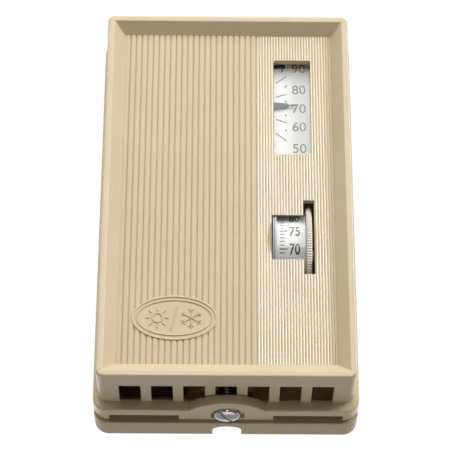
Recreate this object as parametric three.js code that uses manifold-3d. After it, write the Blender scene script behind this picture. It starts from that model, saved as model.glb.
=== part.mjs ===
// A wall thermostat: a moulded base on the wall, a lift-off cover with a ribbed front, a thermometer
// that belongs to the cover, and a setpoint drum with its thumbwheel that belongs to the base.
//
// Units are millimetres. +Z is up, the wall is the plane Y = 0, and the front faces -Y.
// The origin lies on the back of the base, level with the middle of the cover's front.

import * as THREE from 'three';
import { mergeVertices } from 'three/addons/utils/BufferGeometryUtils.js';
import { ConvexGeometry } from 'three/addons/geometries/ConvexGeometry.js';
import Module from 'manifold-3d';

const wasm = await Module();
wasm.setup();

// ---- Driving dimensions ------------------------------------------------------------------------

const GAP = 0.3; // between a cut piece and the piece that it was cut for
const FIT = 0.1; // between two fixed pieces that rest on each other

const COVER_HALF_WIDTH = 35;
const COVER_HALF_HEIGHT = 57.5;
const COVER_FRONT = -31.3; // plane of the lip round the front
const LIP_WIDTH = 1.8;
const BEVEL = 3.1; // width and depth of the slope inside the lip
const PANEL_FRONT = COVER_FRONT + BEVEL; // crests of the ribs
const PANEL_THICKNESS = 2;
const PANEL_BACK = PANEL_FRONT + PANEL_THICKNESS;
const PANEL_HALF_WIDTH = COVER_HALF_WIDTH - LIP_WIDTH - BEVEL;
const PANEL_HALF_HEIGHT = COVER_HALF_HEIGHT - LIP_WIDTH - BEVEL;
const WALL = 2.2;

const SKIRT_FRONT = -14.4; // where the cover steps out towards the wall
const SKIRT_STEP = 1.5;
const BASE_FRONT = -8;
const SKIRT_BACK = BASE_FRONT - GAP;
const SKIRT_BOTTOM = -60.4;
const BASE_HALF_WIDTH = COVER_HALF_WIDTH + SKIRT_STEP;
const BASE_TOP = COVER_HALF_HEIGHT + SKIRT_STEP;
const BASE_BOTTOM = -61.4;
const BASE_WALL = 2.5;
const PLATE_THICKNESS = 1.8;
const PLATE_FRONT = -PLATE_THICKNESS;

const RIB_DEPTH = 0.35;
const GROOVE_FLOOR = PANEL_FRONT + RIB_DEPTH;
const RIB_CHANGE_X = 8.3; // wide ribs on the left of this line, fine ribs on its right
const WIDE_RIBS = { count: 23, groove: 0.5 };
const FINE_RIBS = { count: 27, groove: 0.34 };

const BADGE = { x: -14.2, z: -38.9, halfWidth: 11.75, halfHeight: 6.75, ring: 0.7, proud: 0.25 };

const VENT = { count: 7, pitch: 8.7, width: 5.9, front: -24.7, back: -10, ledge: 0.4 };

const DIAL_WINDOW = { left: 13.3, right: 24, low: 12.7, high: 44.2, corner: 0.6 };
const DRUM_WINDOW = { left: 12.5, right: 21.3, low: -20.8, high: -6.9 };
const WHEEL = { left: 22, right: 23.6, teeth: 118, depth: 0.28 };
const WHEEL_SLOT = { left: 21.3, right: 24.3, low: -25.3, high: -2.2 };

const SCREW_X = 0.3;
const SCREW_Y = -12.1;
const SCREW_HEAD_RADIUS = 3.55;
const SCREW_RADIUS = 1.75;
const POCKET_DEPTH = 1.2;

const SETPOINT_Y = -16; // axis of the drum and thumbwheel, along X
const SETPOINT_Z = -13.75;
const SHAFT_RADIUS = 2;
const DRUM_RADIUS = 11.8;
const WHEEL_RADIUS = 13.9;
const LENS_INNER_RADIUS = 12.3;
const LENS_OUTER_RADIUS = 13.3;

const DIAL_X = 3; // axis of the thermometer pointer, along Y
const DIAL_Z = 30.5;
const DIAL_FRONT = -23.8;
const DIAL_THICKNESS = 0.8;
const DIAL_BACK = DIAL_FRONT + DIAL_THICKNESS;
const POINTER_REST = THREE.MathUtils.degToRad(2.4); // above the horizontal: 71 on the dial
const DIAL_SCREW_OFFSET = 16;

const LEVER_Y = -6; // pivot of the cam follower, along X
const LEVER_Z = -3.5;
const CAM_RADIUS = 6.5;
const CAM_RISE = 0.3; // mm of radius per radian
const BLADE_BEND_Z = 6.5; // height at which the bimetal blade leaves its lever
const BLADE_Y = -8.2;

const ANTICIPATOR_X = -19;
const ANTICIPATOR_Z = 6;

// ---- Materials ---------------------------------------------------------------------------------

function finish(color, roughness, metalness = 0) {
  return new THREE.MeshStandardMaterial({ color, roughness, metalness });
}

function clearPlastic() {
  const material = finish(0xf4f6f2, 0.08);
  material.transparent = true;
  material.opacity = 0.3;
  return material;
}

const beigePlastic = finish(0xdac7a9, 0.42);
const whiteEnamel = finish(0xf3f3ef, 0.4);
const whitePlastic = finish(0xf5f4ee, 0.45);
const creamPlastic = finish(0xeee8da, 0.45);
const blackEnamel = finish(0x16161a, 0.4);
const springSteel = finish(0xb4b6b8, 0.32, 1);
const plainSteel = finish(0xa5a7a9, 0.4, 1);
const chromePlate = finish(0xe2e4e6, 0.12, 1);
const brass = finish(0xc9a45c, 0.3, 1);
const bimetal = finish(0xb08a6a, 0.35, 1);
const silverContact = finish(0xdcdedf, 0.25, 1);
const brownBoard = finish(0x5a3a26, 0.6);
const greyMagnet = finish(0x4d4f53, 0.5);

// ---- Solids from three.js geometry --------------------------------------------------------------

function withoutFlatTriangles(index) {
  const kept = [];
  for (let i = 0; i < index.length; i += 3) {
    const [a, b, c] = index.slice(i, i + 3);
    if (a !== b && b !== c && c !== a) kept.push(a, b, c);
  }
  return kept;
}

function signedVolume(position, triangles) {
  const corners = [new THREE.Vector3(), new THREE.Vector3(), new THREE.Vector3()];
  let volume = 0;
  for (let i = 0; i < triangles.length; i += 3) {
    corners.forEach((corner, k) => corner.fromBufferAttribute(position, triangles[i + k]));
    volume += corners[0].dot(corners[1].clone().cross(corners[2])) / 6;
  }
  return volume;
}

// A closed geometry as a solid, with its faces turned outwards.
function solidOf(geometry) {
  const bare = geometry.clone();
  bare.deleteAttribute('normal');
  bare.deleteAttribute('uv');
  const merged = mergeVertices(bare);
  const position = merged.getAttribute('position');
  let triangles = withoutFlatTriangles(Array.from(merged.index.array));
  if (signedVolume(position, triangles) < 0) triangles = triangles.reverse();
  const mesh = new wasm.Mesh({
    numProp: 3,
    vertProperties: new Float32Array(position.array),
    triVerts: new Uint32Array(triangles),
  });
  return new wasm.Manifold(mesh);
}

function geometryOf(solid) {
  const { vertProperties, triVerts } = solid.getMesh();
  const geometry = new THREE.BufferGeometry();
  geometry.setAttribute('position', new THREE.BufferAttribute(new Float32Array(vertProperties), 3));
  geometry.setIndex(Array.from(triVerts));
  geometry.computeVertexNormals();
  return geometry;
}

function joined(...solids) {
  return solids.reduce((whole, next) => whole.add(next));
}

function cut(solid, ...tools) {
  return tools.reduce((rest, tool) => rest.subtract(tool), solid);
}

function box(left, right, front, back, low, high) {
  const geometry = new THREE.BoxGeometry(right - left, back - front, high - low);
  geometry.translate((left + right) / 2, (front + back) / 2, (low + high) / 2);
  return solidOf(geometry);
}

function extruded(shape, depth, curveSegments) {
  return new THREE.ExtrudeGeometry(shape, { depth, bevelEnabled: false, curveSegments });
}

// An outline in X and Y, raised from low to high.
function raisedZ(shape, low, high, curveSegments = 6) {
  return solidOf(extruded(shape, high - low, curveSegments).translate(0, 0, low));
}

// An outline in X and Z, from its front plane to its back plane.
function deepY(shape, front, back, curveSegments = 6) {
  const geometry = extruded(shape, back - front, curveSegments);
  return solidOf(geometry.rotateX(Math.PI / 2).translate(0, back, 0));
}

// An outline in Y and Z, from left to right.
function acrossX(shape, left, right, curveSegments = 6) {
  const turn = new THREE.Matrix4().makeBasis(
    new THREE.Vector3(0, 1, 0), new THREE.Vector3(0, 0, 1), new THREE.Vector3(1, 0, 0));
  return solidOf(extruded(shape, right - left, curveSegments).applyMatrix4(turn).translate(left, 0, 0));
}

function polygon(points) {
  return new THREE.Shape(points.map(([x, y]) => new THREE.Vector2(x, y)));
}

function roundedRect(left, right, low, high, radius) {
  const quarter = Math.PI / 2;
  const shape = new THREE.Shape();
  shape.absarc(right - radius, low + radius, radius, -quarter, 0);
  shape.absarc(right - radius, high - radius, radius, 0, quarter);
  shape.absarc(left + radius, high - radius, radius, quarter, 2 * quarter);
  shape.absarc(left + radius, low + radius, radius, 2 * quarter, 3 * quarter);
  return shape;
}

function ellipse(x, y, halfWidth, halfHeight) {
  const shape = new THREE.Shape();
  shape.absellipse(x, y, halfWidth, halfHeight, 0, 2 * Math.PI);
  return shape;
}

function rodX(radius, left, right, y = 0, z = 0, sides = 24) {
  const geometry = new THREE.CylinderGeometry(radius, radius, right - left, sides);
  return solidOf(geometry.rotateZ(-Math.PI / 2).translate((left + right) / 2, y, z));
}

function rodY(radius, front, back, x = 0, z = 0, sides = 24) {
  const geometry = new THREE.CylinderGeometry(radius, radius, back - front, sides);
  return solidOf(geometry.translate(x, (front + back) / 2, z));
}

function rodZ(radius, low, high, x = 0, y = 0, sides = 24) {
  const geometry = new THREE.CylinderGeometry(radius, radius, high - low, sides);
  return solidOf(geometry.rotateX(Math.PI / 2).translate(x, y, (low + high) / 2));
}

// A profile of [radius, height] turned about the X axis.
function turnedX(profile, sides) {
  const points = profile.map(([radius, height]) => new THREE.Vector2(radius, height));
  return solidOf(new THREE.LatheGeometry(points, sides).rotateZ(-Math.PI / 2));
}

// A slotted screw along Y: the underside of its head is at Y = 0 and its head faces -Y.
function slottedScrew({ headRadius, rim, dome, radius, length, slot, slotAngle = 0, sides = 20 }) {
  const profile = [
    [0, -rim - dome], [headRadius * 0.45, -rim - dome * 0.86], [headRadius * 0.8, -rim - dome * 0.45],
    [headRadius, -rim], [headRadius, 0], [radius, 0], [radius, length], [0, length],
  ];
  const points = profile.map(([r, y]) => new THREE.Vector2(r, y));
  const body = solidOf(new THREE.LatheGeometry(points, sides));
  const groove = new THREE.BoxGeometry(3 * headRadius, 2 * (dome + rim * 0.5), slot);
  groove.rotateY(slotAngle).translate(0, -rim - dome, 0);
  return cut(body, solidOf(groove));
}

function piece(name, solid, material) {
  const mesh = new THREE.Mesh(geometryOf(solid), material);
  mesh.name = name;
  return mesh;
}

function at(mesh, x, y, z) {
  mesh.position.set(x, y, z);
  return mesh;
}

// ---- Cover ---------------------------------------------------------------------------------------

// The ribbed front as one outline in X and Y, seen from above, with its back inside the cover.
function ribbedPanel() {
  const overlap = 0.1;
  const left = -PANEL_HALF_WIDTH - overlap;
  const right = PANEL_HALF_WIDTH + overlap;
  const points = [[left, PANEL_FRONT]];
  const addGrooves = (from, to, { count, groove }) => {
    const pitch = (to - from) / count;
    for (let rib = 1; rib <= count; rib += 1) {
      const middle = from + rib * pitch;
      if (middle + groove > PANEL_HALF_WIDTH) break;
      points.push([middle - groove / 2, PANEL_FRONT]);
      points.push([middle, GROOVE_FLOOR]);
      points.push([middle + groove / 2, PANEL_FRONT]);
    }
  };
  addGrooves(-PANEL_HALF_WIDTH, RIB_CHANGE_X, WIDE_RIBS);
  addGrooves(RIB_CHANGE_X, PANEL_HALF_WIDTH, FINE_RIBS);
  points.push([right, PANEL_FRONT], [right, PANEL_BACK], [left, PANEL_BACK]);
  const height = PANEL_HALF_HEIGHT + overlap;
  return raisedZ(polygon(points), -height, height);
}

// The sloping recess inside the lip, as four mitred bevels.
function lipRecess() {
  const proud = 0.5;
  const corners = [];
  const levels = [[COVER_FRONT - proud, BEVEL + proud], [PANEL_FRONT, 0]];
  levels.forEach(([y, spread]) => {
    for (const x of [-1, 1]) {
      for (const z of [-1, 1]) {
        corners.push(new THREE.Vector3(
          x * (PANEL_HALF_WIDTH + spread), y, z * (PANEL_HALF_HEIGHT + spread)));
      }
    }
  });
  return solidOf(new ConvexGeometry(corners));
}

function badgeBlank() {
  const { x, z, halfWidth, halfHeight, ring, proud } = BADGE;
  const pad = deepY(ellipse(x, z, halfWidth, halfHeight), PANEL_FRONT, PANEL_BACK, 20);
  const raised = deepY(ellipse(x, z, halfWidth, halfHeight), PANEL_FRONT - proud, PANEL_BACK, 20);
  const inside = deepY(ellipse(x, z, halfWidth - ring, halfHeight - ring), COVER_FRONT, PANEL_FRONT, 20);
  return joined(pad, cut(raised, inside));
}

function ventCuts(low, high) {
  const inner = COVER_HALF_HEIGHT - VENT.ledge;
  const cuts = [];
  for (let i = 0; i < VENT.count; i += 1) {
    const middle = (i - (VENT.count - 1) / 2) * VENT.pitch;
    const [left, right] = [middle - VENT.width / 2, middle + VENT.width / 2];
    cuts.push(box(left, right, VENT.front, SKIRT_FRONT, low, high));
    // Inside, each vent also opens backwards over the ledge of the skirt.
    cuts.push(box(left, right, VENT.front, VENT.back, Math.max(low, -inner), Math.min(high, inner)));
  }
  return cuts;
}

// The lump that the bottom of the skirt makes round the cover screw: an arc in plan.
function screwLump() {
  const halfWidth = 10.3;
  const rise = 5.1;
  const radius = (halfWidth ** 2 + rise ** 2) / (2 * rise);
  const reach = Math.asin(halfWidth / radius);
  const steps = 12;
  const outline = new THREE.Shape();
  outline.moveTo(SCREW_X - halfWidth, SKIRT_FRONT + 1);
  for (let i = 0; i <= steps; i += 1) {
    const turn = reach * (2 * i / steps - 1);
    outline.lineTo(SCREW_X + radius * Math.sin(turn), SKIRT_FRONT - rise + radius * (1 - Math.cos(turn)));
  }
  outline.lineTo(SCREW_X + halfWidth, SKIRT_FRONT + 1);
  return raisedZ(outline, SKIRT_BOTTOM, -COVER_HALF_HEIGHT - VENT.ledge / 2);
}

// The D-shaped pocket under the lump, which the head of the cover screw sits in.
function screwPocket() {
  const halfWidth = 4.55;
  const middle = SCREW_X + 0.15;
  const shoulder = -12.5;
  const outline = new THREE.Shape();
  outline.moveTo(middle - halfWidth, -9.55);
  outline.lineTo(middle + halfWidth, -9.55);
  outline.lineTo(middle + halfWidth, shoulder);
  outline.absellipse(middle, shoulder, halfWidth, 3.4, 0, -Math.PI, true);
  const pocketTop = SKIRT_BOTTOM + POCKET_DEPTH;
  const relief = rodZ(SCREW_HEAD_RADIUS + GAP, SKIRT_BOTTOM - 1, pocketTop, SCREW_X, SCREW_Y, 32);
  return joined(raisedZ(outline, SKIRT_BOTTOM - 1, pocketTop, 10), relief);
}

function coverShell() {
  const bottom = -COVER_HALF_HEIGHT;
  const inside = COVER_HALF_WIDTH - WALL;
  const floor = bottom + WALL;
  const front = deepY(
    roundedRect(-COVER_HALF_WIDTH, COVER_HALF_WIDTH, bottom, -bottom, 2), COVER_FRONT, SKIRT_FRONT + 1);
  const skirt = deepY(
    roundedRect(-BASE_HALF_WIDTH, BASE_HALF_WIDTH, SKIRT_BOTTOM, BASE_TOP, 4), SKIRT_FRONT, SKIRT_BACK);
  const cavity = box(-inside, inside, PANEL_BACK, 0, floor, -floor);
  const panelSeat = box(-PANEL_HALF_WIDTH, PANEL_HALF_WIDTH, PANEL_FRONT - 0.1, PANEL_BACK + 0.1,
    -PANEL_HALF_HEIGHT, PANEL_HALF_HEIGHT);

  let shell = cut(joined(front, skirt), cavity, lipRecess(), panelSeat);
  shell = cut(shell, ...ventCuts(-floor - 1, -bottom + 0.01), ...ventCuts(bottom - 0.01, floor + 1));
  shell = joined(shell, screwLump(), ribbedPanel(), badgeBlank());

  const gusset = 4;
  for (const side of [-1, 1]) {
    const wall = side * (inside + 0.1);
    const corner = polygon([
      [wall, PANEL_BACK - 0.1], [wall - side * gusset, PANEL_BACK - 0.1], [wall, PANEL_BACK + gusset]]);
    shell = joined(shell, raisedZ(corner, floor - 0.1, -floor + 0.1));
    shell = joined(shell, rodY(3, PANEL_BACK - 0.1, -12, side * 20.8, -49));
    shell = joined(shell, rodY(2.5, PANEL_BACK - 0.1, DIAL_FRONT - FIT, DIAL_X,
      DIAL_Z + side * DIAL_SCREW_OFFSET));
    shell = cut(shell, rodY(1.2, PANEL_BACK + 0.4, 0, DIAL_X, DIAL_Z + side * DIAL_SCREW_OFFSET, 12));
    const [near, far] = [Math.min(side * 13, side * 32), Math.max(side * 13, side * 32)];
    shell = cut(shell, box(near, far, -11.3, 0, SKIRT_BOTTOM - 1, floor + 0.1));
  }
  const lensRelief = rodX(LENS_OUTER_RADIUS + GAP, DRUM_WINDOW.left, DRUM_WINDOW.right + 0.01,
    SETPOINT_Y, SETPOINT_Z, 72);
  const window = ({ left, right, low, high }) => box(left, right, COVER_FRONT, PANEL_BACK + 0.1, low, high);
  return cut(
    shell,
    deepY(roundedRect(DIAL_WINDOW.left, DIAL_WINDOW.right, DIAL_WINDOW.low, DIAL_WINDOW.high,
      DIAL_WINDOW.corner), COVER_FRONT, PANEL_BACK + 0.1),
    window(DRUM_WINDOW),
    window(WHEEL_SLOT),
    lensRelief,
    screwPocket(),
    rodZ(SCREW_RADIUS + GAP, SKIRT_BOTTOM - 1, floor + 1, SCREW_X, SCREW_Y),
  );
}

function thermometerLens() {
  const edge = 1.5;
  const outline = roundedRect(DIAL_WINDOW.left - edge, DIAL_WINDOW.right + edge,
    DIAL_WINDOW.low - edge, DIAL_WINDOW.high + edge, 1);
  return deepY(outline, PANEL_BACK + GAP, PANEL_BACK + GAP + 0.8);
}

// A curved window over the drum, with a flange behind the panel above and below it.
function setpointLens() {
  const halfAngle = THREE.MathUtils.degToRad(40);
  const left = DRUM_WINDOW.left + GAP;
  const right = WHEEL.left - GAP;
  const arc = new THREE.Shape();
  arc.absarc(0, 0, LENS_OUTER_RADIUS, Math.PI - halfAngle, Math.PI + halfAngle);
  arc.absarc(0, 0, LENS_INNER_RADIUS, Math.PI + halfAngle, Math.PI - halfAngle, true);
  const curved = acrossX(arc, left, right, 24);
  const front = PANEL_BACK + GAP - SETPOINT_Y;
  const flange = (low, high) => box(left + 0.2, right - 0.2, front, front + 1, low, high);
  return joined(curved, flange(7.9, 11.4), flange(-11.4, -7.9));
}

function dialPlate() {
  const outline = roundedRect(-7, 22.4, -21, 20, 1.5);
  const holes = [-1, 1].map((side) => rodY(1.2, -1, 2, 0, side * DIAL_SCREW_OFFSET, 12));
  return cut(deepY(outline, 0, DIAL_THICKNESS), rodY(1.8, -1, 2), ...holes);
}

// The bimetal strip wound in a flat spiral round the pointer's staff.
function bimetalCoil() {
  const turns = 3.4;
  const stepsPerTurn = 22;
  const steps = Math.round(turns * stepsPerTurn);
  const halfThickness = 0.22;
  const edge = (offset) => (step) => {
    const angle = (step / stepsPerTurn) * 2 * Math.PI;
    const radius = 1.9 + (5.6 * step) / steps + offset;
    return [radius * Math.cos(angle), radius * Math.sin(angle)];
  };
  const order = Array.from({ length: steps + 1 }, (_, step) => step);
  const outer = order.map(edge(halfThickness));
  const inner = order.map(edge(-halfThickness)).reverse();
  return deepY(polygon([...outer, ...inner]), 1.9, 5.6);
}

// A U-shaped strap behind the coil, with a bearing for the staff and a foot under each dial screw.
function thermometerBracket() {
  const metal = 0.8;
  const back = 7.2;
  const front = DIAL_THICKNESS + FIT;
  const leg = 12.4;
  const foot = 18.2;
  const outline = polygon([
    [front, -foot], [front, -leg], [back - metal, -leg], [back - metal, leg], [front, leg], [front, foot],
    [front + metal, foot], [front + metal, leg + metal], [back, leg + metal], [back, -leg - metal],
    [front + metal, -leg - metal], [front + metal, -foot],
  ]);
  const holes = [-1, 1].map((side) => rodY(1.2, 0, 3, 0, side * DIAL_SCREW_OFFSET, 12));
  return cut(acrossX(outline, -3, 3), rodY(1.1, 5, 9, 0, 0, 16), ...holes);
}

function coilAnchor() {
  return box(-9.6, -8.2, DIAL_THICKNESS + FIT, 5.2, -5.8, -1.2);
}

function dialScrew() {
  return slottedScrew({ headRadius: 2, rim: 0.7, dome: 0.5, radius: 0.9, length: 3.6, slot: 0.5, sides: 16 });
}

function squareNut() {
  const half = 3.5;
  const nut = box(SCREW_X - half, SCREW_X + half, SCREW_Y - half, SCREW_Y + half, -53.1, -50.7);
  return cut(nut, rodZ(SCREW_RADIUS + GAP, -54, -50, SCREW_X, SCREW_Y));
}

function coverScrew() {
  return slottedScrew({
    headRadius: SCREW_HEAD_RADIUS, rim: 1.6, dome: 0.9, radius: SCREW_RADIUS, length: 9.8, slot: 0.9,
    slotAngle: THREE.MathUtils.degToRad(60), sides: 32,
  });
}

// ---- Thermometer pointer, about its own axis -------------------------------------------------------

function pointerBlade() {
  const outline = polygon([[0, -1.4], [11, -1.05], [14.7, -0.35], [16.8, -0.12],
    [16.8, 0.12], [14.7, 0.35], [11, 1.05], [0, 1.4]]);
  return joined(deepY(outline, -0.9, -0.45), rodY(2.4, -0.9, -0.45));
}

function pointerStaff() {
  return rodY(0.8, -0.4, 7.6, 0, 0, 16);
}

// ---- Setpoint group, about its own axis ------------------------------------------------------------

function setpointDrum() {
  const left = DRUM_WINDOW.left + GAP;
  const right = WHEEL.left - 0.1;
  const profile = [
    [SHAFT_RADIUS + GAP, left], [4, left], [4, right - 1.6], [DRUM_RADIUS - 1.4, right - 1.6],
    [DRUM_RADIUS - 1.4, left], [DRUM_RADIUS, left], [DRUM_RADIUS, right], [SHAFT_RADIUS + GAP, right],
  ];
  return turnedX([...profile, profile[0]], 64);
}

function thumbwheel() {
  const { left, right, teeth, depth } = WHEEL;
  const points = [];
  for (let i = 0; i < teeth * 2; i += 1) {
    const radius = i % 2 === 0 ? WHEEL_RADIUS : WHEEL_RADIUS - depth;
    const angle = (i / (teeth * 2)) * 2 * Math.PI;
    points.push([radius * Math.cos(angle), radius * Math.sin(angle)]);
  }
  const disc = acrossX(polygon(points), left, right);
  return cut(disc, rodX(SHAFT_RADIUS + GAP, 21, 25));
}

function setpointShaft() {
  const shaft = rodX(SHAFT_RADIUS, 3.6, 28.8);
  const clipGroove = cut(rodX(3, 27, 27.8), rodX(1.5, 26, 29));
  return cut(shaft, clipGroove);
}

// A snail cam, highest at the back: it lifts its follower as the setting goes up.
function setpointCam() {
  const steps = 60;
  const points = [];
  for (let i = 0; i <= steps; i += 1) {
    const fromTop = -Math.PI + (i / steps) * 2 * Math.PI; // measured from the top towards the front
    const radius = CAM_RADIUS - CAM_RISE * fromTop;
    points.push([-radius * Math.sin(fromTop), radius * Math.cos(fromTop)]);
  }
  return cut(acrossX(polygon(points), 4.6, 6.8), rodX(SHAFT_RADIUS + GAP, 4, 8));
}

function shaftClip() {
  const ring = cut(rodX(3.4, 27.1, 27.7), rodX(1.5 + FIT, 26, 29));
  return cut(ring, box(27, 28, -1, 1, 0, 5));
}

// ---- Follower lever, about its own pivot --------------------------------------------------------------

function followerLever() {
  const noseLow = SETPOINT_Z + CAM_RADIUS + GAP - LEVER_Z;
  const noseY = SETPOINT_Y - LEVER_Y;
  const outline = polygon([
    [noseY - 0.8, noseLow + 0.4], [noseY, noseLow], [noseY + 0.8, noseLow + 0.4], [noseY + 1.2, -1.2],
    [-1.4, -1.6], [0, -2], [1.4, -1.4], [2, 0], [1.4, 1.4], [-0.4, 4], [-0.4, 11],
    [-1.9, 11], [-1.9, 2], [noseY + 0.8, 1.1], [noseY - 0.8, 0.2],
  ]);
  return cut(acrossX(outline, -0.8, 0.8), rodX(1.3, -2, 2, 0, 0, 16));
}

function bimetalBlade() {
  return box(-2.5, 2.5, -0.2, 0.2, -3.5, 35.5);
}

function movingContact() {
  return rodY(1.3, 0.25, 1.3, 0, 33.5, 16);
}

// ---- Base ----------------------------------------------------------------------------------------------

// The fork under the cover's nut: its slot is open to the front, so that the cover slides off.
function screwFork() {
  const [low, high] = [-55, -53.4];
  const slot = 2.3;
  const fork = box(SCREW_X - 7, SCREW_X + 7, SCREW_Y - 3.5, PLATE_FRONT + 0.1, low, high);
  const mouth = box(SCREW_X - slot, SCREW_X + slot, SCREW_Y - 5, SCREW_Y, low - 1, high + 1);
  const web = (x) => acrossX(polygon([
    [PLATE_FRONT + 0.1, high - 0.1], [SCREW_Y + 4, high - 0.1], [PLATE_FRONT + 0.1, high + 6]]), x, x + 1.2);
  const ends = [web(SCREW_X - 7), web(SCREW_X + 5.8)];
  return joined(cut(fork, mouth, rodZ(slot, low - 1, high + 1, SCREW_X, SCREW_Y)), ...ends);
}

function wireNotch() {
  const halfWidth = 4;
  const shoulder = -3.3;
  const arch = new THREE.Shape();
  arch.moveTo(SCREW_X - halfWidth, 1);
  arch.lineTo(SCREW_X - halfWidth, shoulder);
  arch.absellipse(SCREW_X, shoulder, halfWidth, 2.6, -Math.PI, 0);
  arch.lineTo(SCREW_X + halfWidth, 1);
  return raisedZ(arch, BASE_BOTTOM - 1, -56.2, 10);
}

function basePlate() {
  const tray = deepY(
    roundedRect(-BASE_HALF_WIDTH, BASE_HALF_WIDTH, BASE_BOTTOM, BASE_TOP, 4), BASE_FRONT, 0);
  const hollow = deepY(roundedRect(-BASE_HALF_WIDTH + BASE_WALL, BASE_HALF_WIDTH - BASE_WALL,
    BASE_BOTTOM + BASE_WALL, BASE_TOP - BASE_WALL, 1.5), BASE_FRONT - 1, PLATE_FRONT);
  const wireEntry = deepY(roundedRect(-24, -8, -19, -5, 2), -5, 1);
  const mountSlot = (z) => deepY(roundedRect(-8.3, -3.7, z - 3.5, z + 3.5, 2.2), -5, 1);
  const sheet = joined(cut(tray, hollow), screwFork());
  return cut(sheet, wireNotch(), wireEntry, mountSlot(41.65), mountSlot(-41.65));
}

// A spring that grips the cover's top wall from below.
function coverClip(x) {
  const sheet = 0.5;
  const back = PLATE_FRONT - FIT;
  const outline = polygon([
    [back, 44], [back, 54.9], [-7.6, 54.9], [-10.2, 54.4], [-12, 52.6], [-11.6, 52.3], [-10, 53.8],
    [-7.6, 54.9 - sheet], [back - sheet, 54.9 - sheet], [back - sheet, 44]]);
  return acrossX(outline, x - 4, x + 4);
}

function shaftBracket(ear, foot) {
  const back = PLATE_FRONT - FIT;
  const upright = box(ear, ear + 1.2, -20.5, back, -19, -8.5);
  const flange = box(Math.min(ear, foot), Math.max(ear + 1.2, foot), back - 1.2, back, -22, -5.5);
  const screwX = (foot + ear + (foot > ear ? 1.2 : 0)) / 2;
  return cut(joined(upright, flange),
    rodX(SHAFT_RADIUS + GAP, ear - 1, ear + 3, SETPOINT_Y, SETPOINT_Z),
    rodY(1.5, -5, 0, screwX, -20, 12));
}

function leverBracket() {
  const back = PLATE_FRONT - FIT;
  const ear = (x) => box(x, x + 1, LEVER_Y - 2, back, -5.2, -1.8);
  const foot = box(2.6, 8.8, back - 1, back, -5.2, 0.4);
  return cut(joined(ear(2.6), ear(7.8), foot), rodX(1 + GAP, 2, 10, LEVER_Y, LEVER_Z, 16));
}

function terminalBoard() {
  return deepY(roundedRect(-31, -11, -51, -25, 1), -3.9, PLATE_FRONT - FIT);
}

function terminalPlate(z) {
  const plate = box(-29, -13, -4.8, -4, z - 2.2, z + 2.2);
  return cut(plate, rodY(1.6, -6, -3, -16.5, z, 12));
}

function anticipatorCard() {
  return deepY(roundedRect(-30, -8, 1, 26, 1), -3.1, PLATE_FRONT - FIT);
}

function anticipatorWire() {
  const half = THREE.MathUtils.degToRad(55);
  const arc = new THREE.Shape();
  arc.absarc(ANTICIPATOR_X, ANTICIPATOR_Z, 15, Math.PI / 2 - half, Math.PI / 2 + half);
  arc.absarc(ANTICIPATOR_X, ANTICIPATOR_Z, 14, Math.PI / 2 + half, Math.PI / 2 - half, true);
  const whole = deepY(arc, -3.8, -3.2, 16);
  return cut(whole, box(-60, -30.2, -6, 0, 0, 30), box(-7.8, 20, -6, 0, 0, 30));
}

function anticipatorArm() {
  const outline = polygon([[-1.6, 0], [-0.5, 16], [0.5, 16], [1.6, 0]]);
  return cut(joined(deepY(outline, -4.8, -4.2), rodY(2.8, -4.8, -4.2)), rodY(1.3, -6, -3, 0, 0, 16));
}

function anticipatorRivet() {
  const head = rodY(2, -5.7, -5.1, ANTICIPATOR_X, ANTICIPATOR_Z, 20);
  const shank = rodY(1, -5.2, -3.2, ANTICIPATOR_X, ANTICIPATOR_Z, 16);
  return joined(head, shank);
}

const CONTACT_X = 5.7;
const CONTACT_Z = BLADE_BEND_Z + 33.5;

function fixedContact() {
  const block = box(CONTACT_X - 3, CONTACT_X + 3, -3.4, PLATE_FRONT - FIT, CONTACT_Z - 3, CONTACT_Z + 7);
  return cut(block, rodY(1.5, -5, 0, CONTACT_X, CONTACT_Z, 16));
}

function contactScrew() {
  return slottedScrew({ headRadius: 1.6, rim: 0.6, dome: 0.3, radius: 1.2, length: 1.4, slot: 0.4, sides: 16 });
}

function bladeMagnet() {
  return box(CONTACT_X - 3, CONTACT_X + 3, -4.6, PLATE_FRONT - FIT, CONTACT_Z - 8.5, CONTACT_Z - 4);
}

// ---- Assembly --------------------------------------------------------------------------------------------

function coverGroup() {
  const cover = new THREE.Group();
  cover.add(piece('cover_shell', coverShell(), beigePlastic));
  cover.add(piece('thermometer_lens', thermometerLens(), clearPlastic()));
  cover.add(at(piece('setpoint_lens', setpointLens(), clearPlastic()), 0, SETPOINT_Y, SETPOINT_Z));
  cover.add(piece('screw_nut', squareNut(), plainSteel));

  const thermometer = new THREE.Group();
  thermometer.position.set(DIAL_X, DIAL_FRONT, DIAL_Z);
  thermometer.add(piece('thermometer_dial', dialPlate(), whiteEnamel));
  thermometer.add(piece('thermometer_coil', bimetalCoil(), bimetal));
  thermometer.add(piece('thermometer_bracket', thermometerBracket(), springSteel));
  thermometer.add(piece('coil_anchor', coilAnchor(), brass));
  for (const [name, side] of [['upper', 1], ['lower', -1]]) {
    const screw = piece(`dial_screw_${name}`, dialScrew(), plainSteel);
    screw.rotation.x = Math.PI; // its head faces the wall
    thermometer.add(at(screw, 0, 2 * DIAL_THICKNESS + 2 * FIT, side * DIAL_SCREW_OFFSET));
  }

  const pointer = new THREE.Group();
  pointer.rotation.y = -POINTER_REST;
  pointer.add(piece('thermometer_pointer', pointerBlade(), blackEnamel));
  pointer.add(piece('pointer_staff', pointerStaff(), springSteel));
  thermometer.add(pointer);
  cover.add(thermometer);

  const screw = piece('cover_screw', coverScrew(), chromePlate);
  screw.rotation.x = Math.PI / 2; // its head faces down
  cover.add(at(screw, SCREW_X, SCREW_Y, SKIRT_BOTTOM + POCKET_DEPTH - FIT));
  return cover;
}

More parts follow.
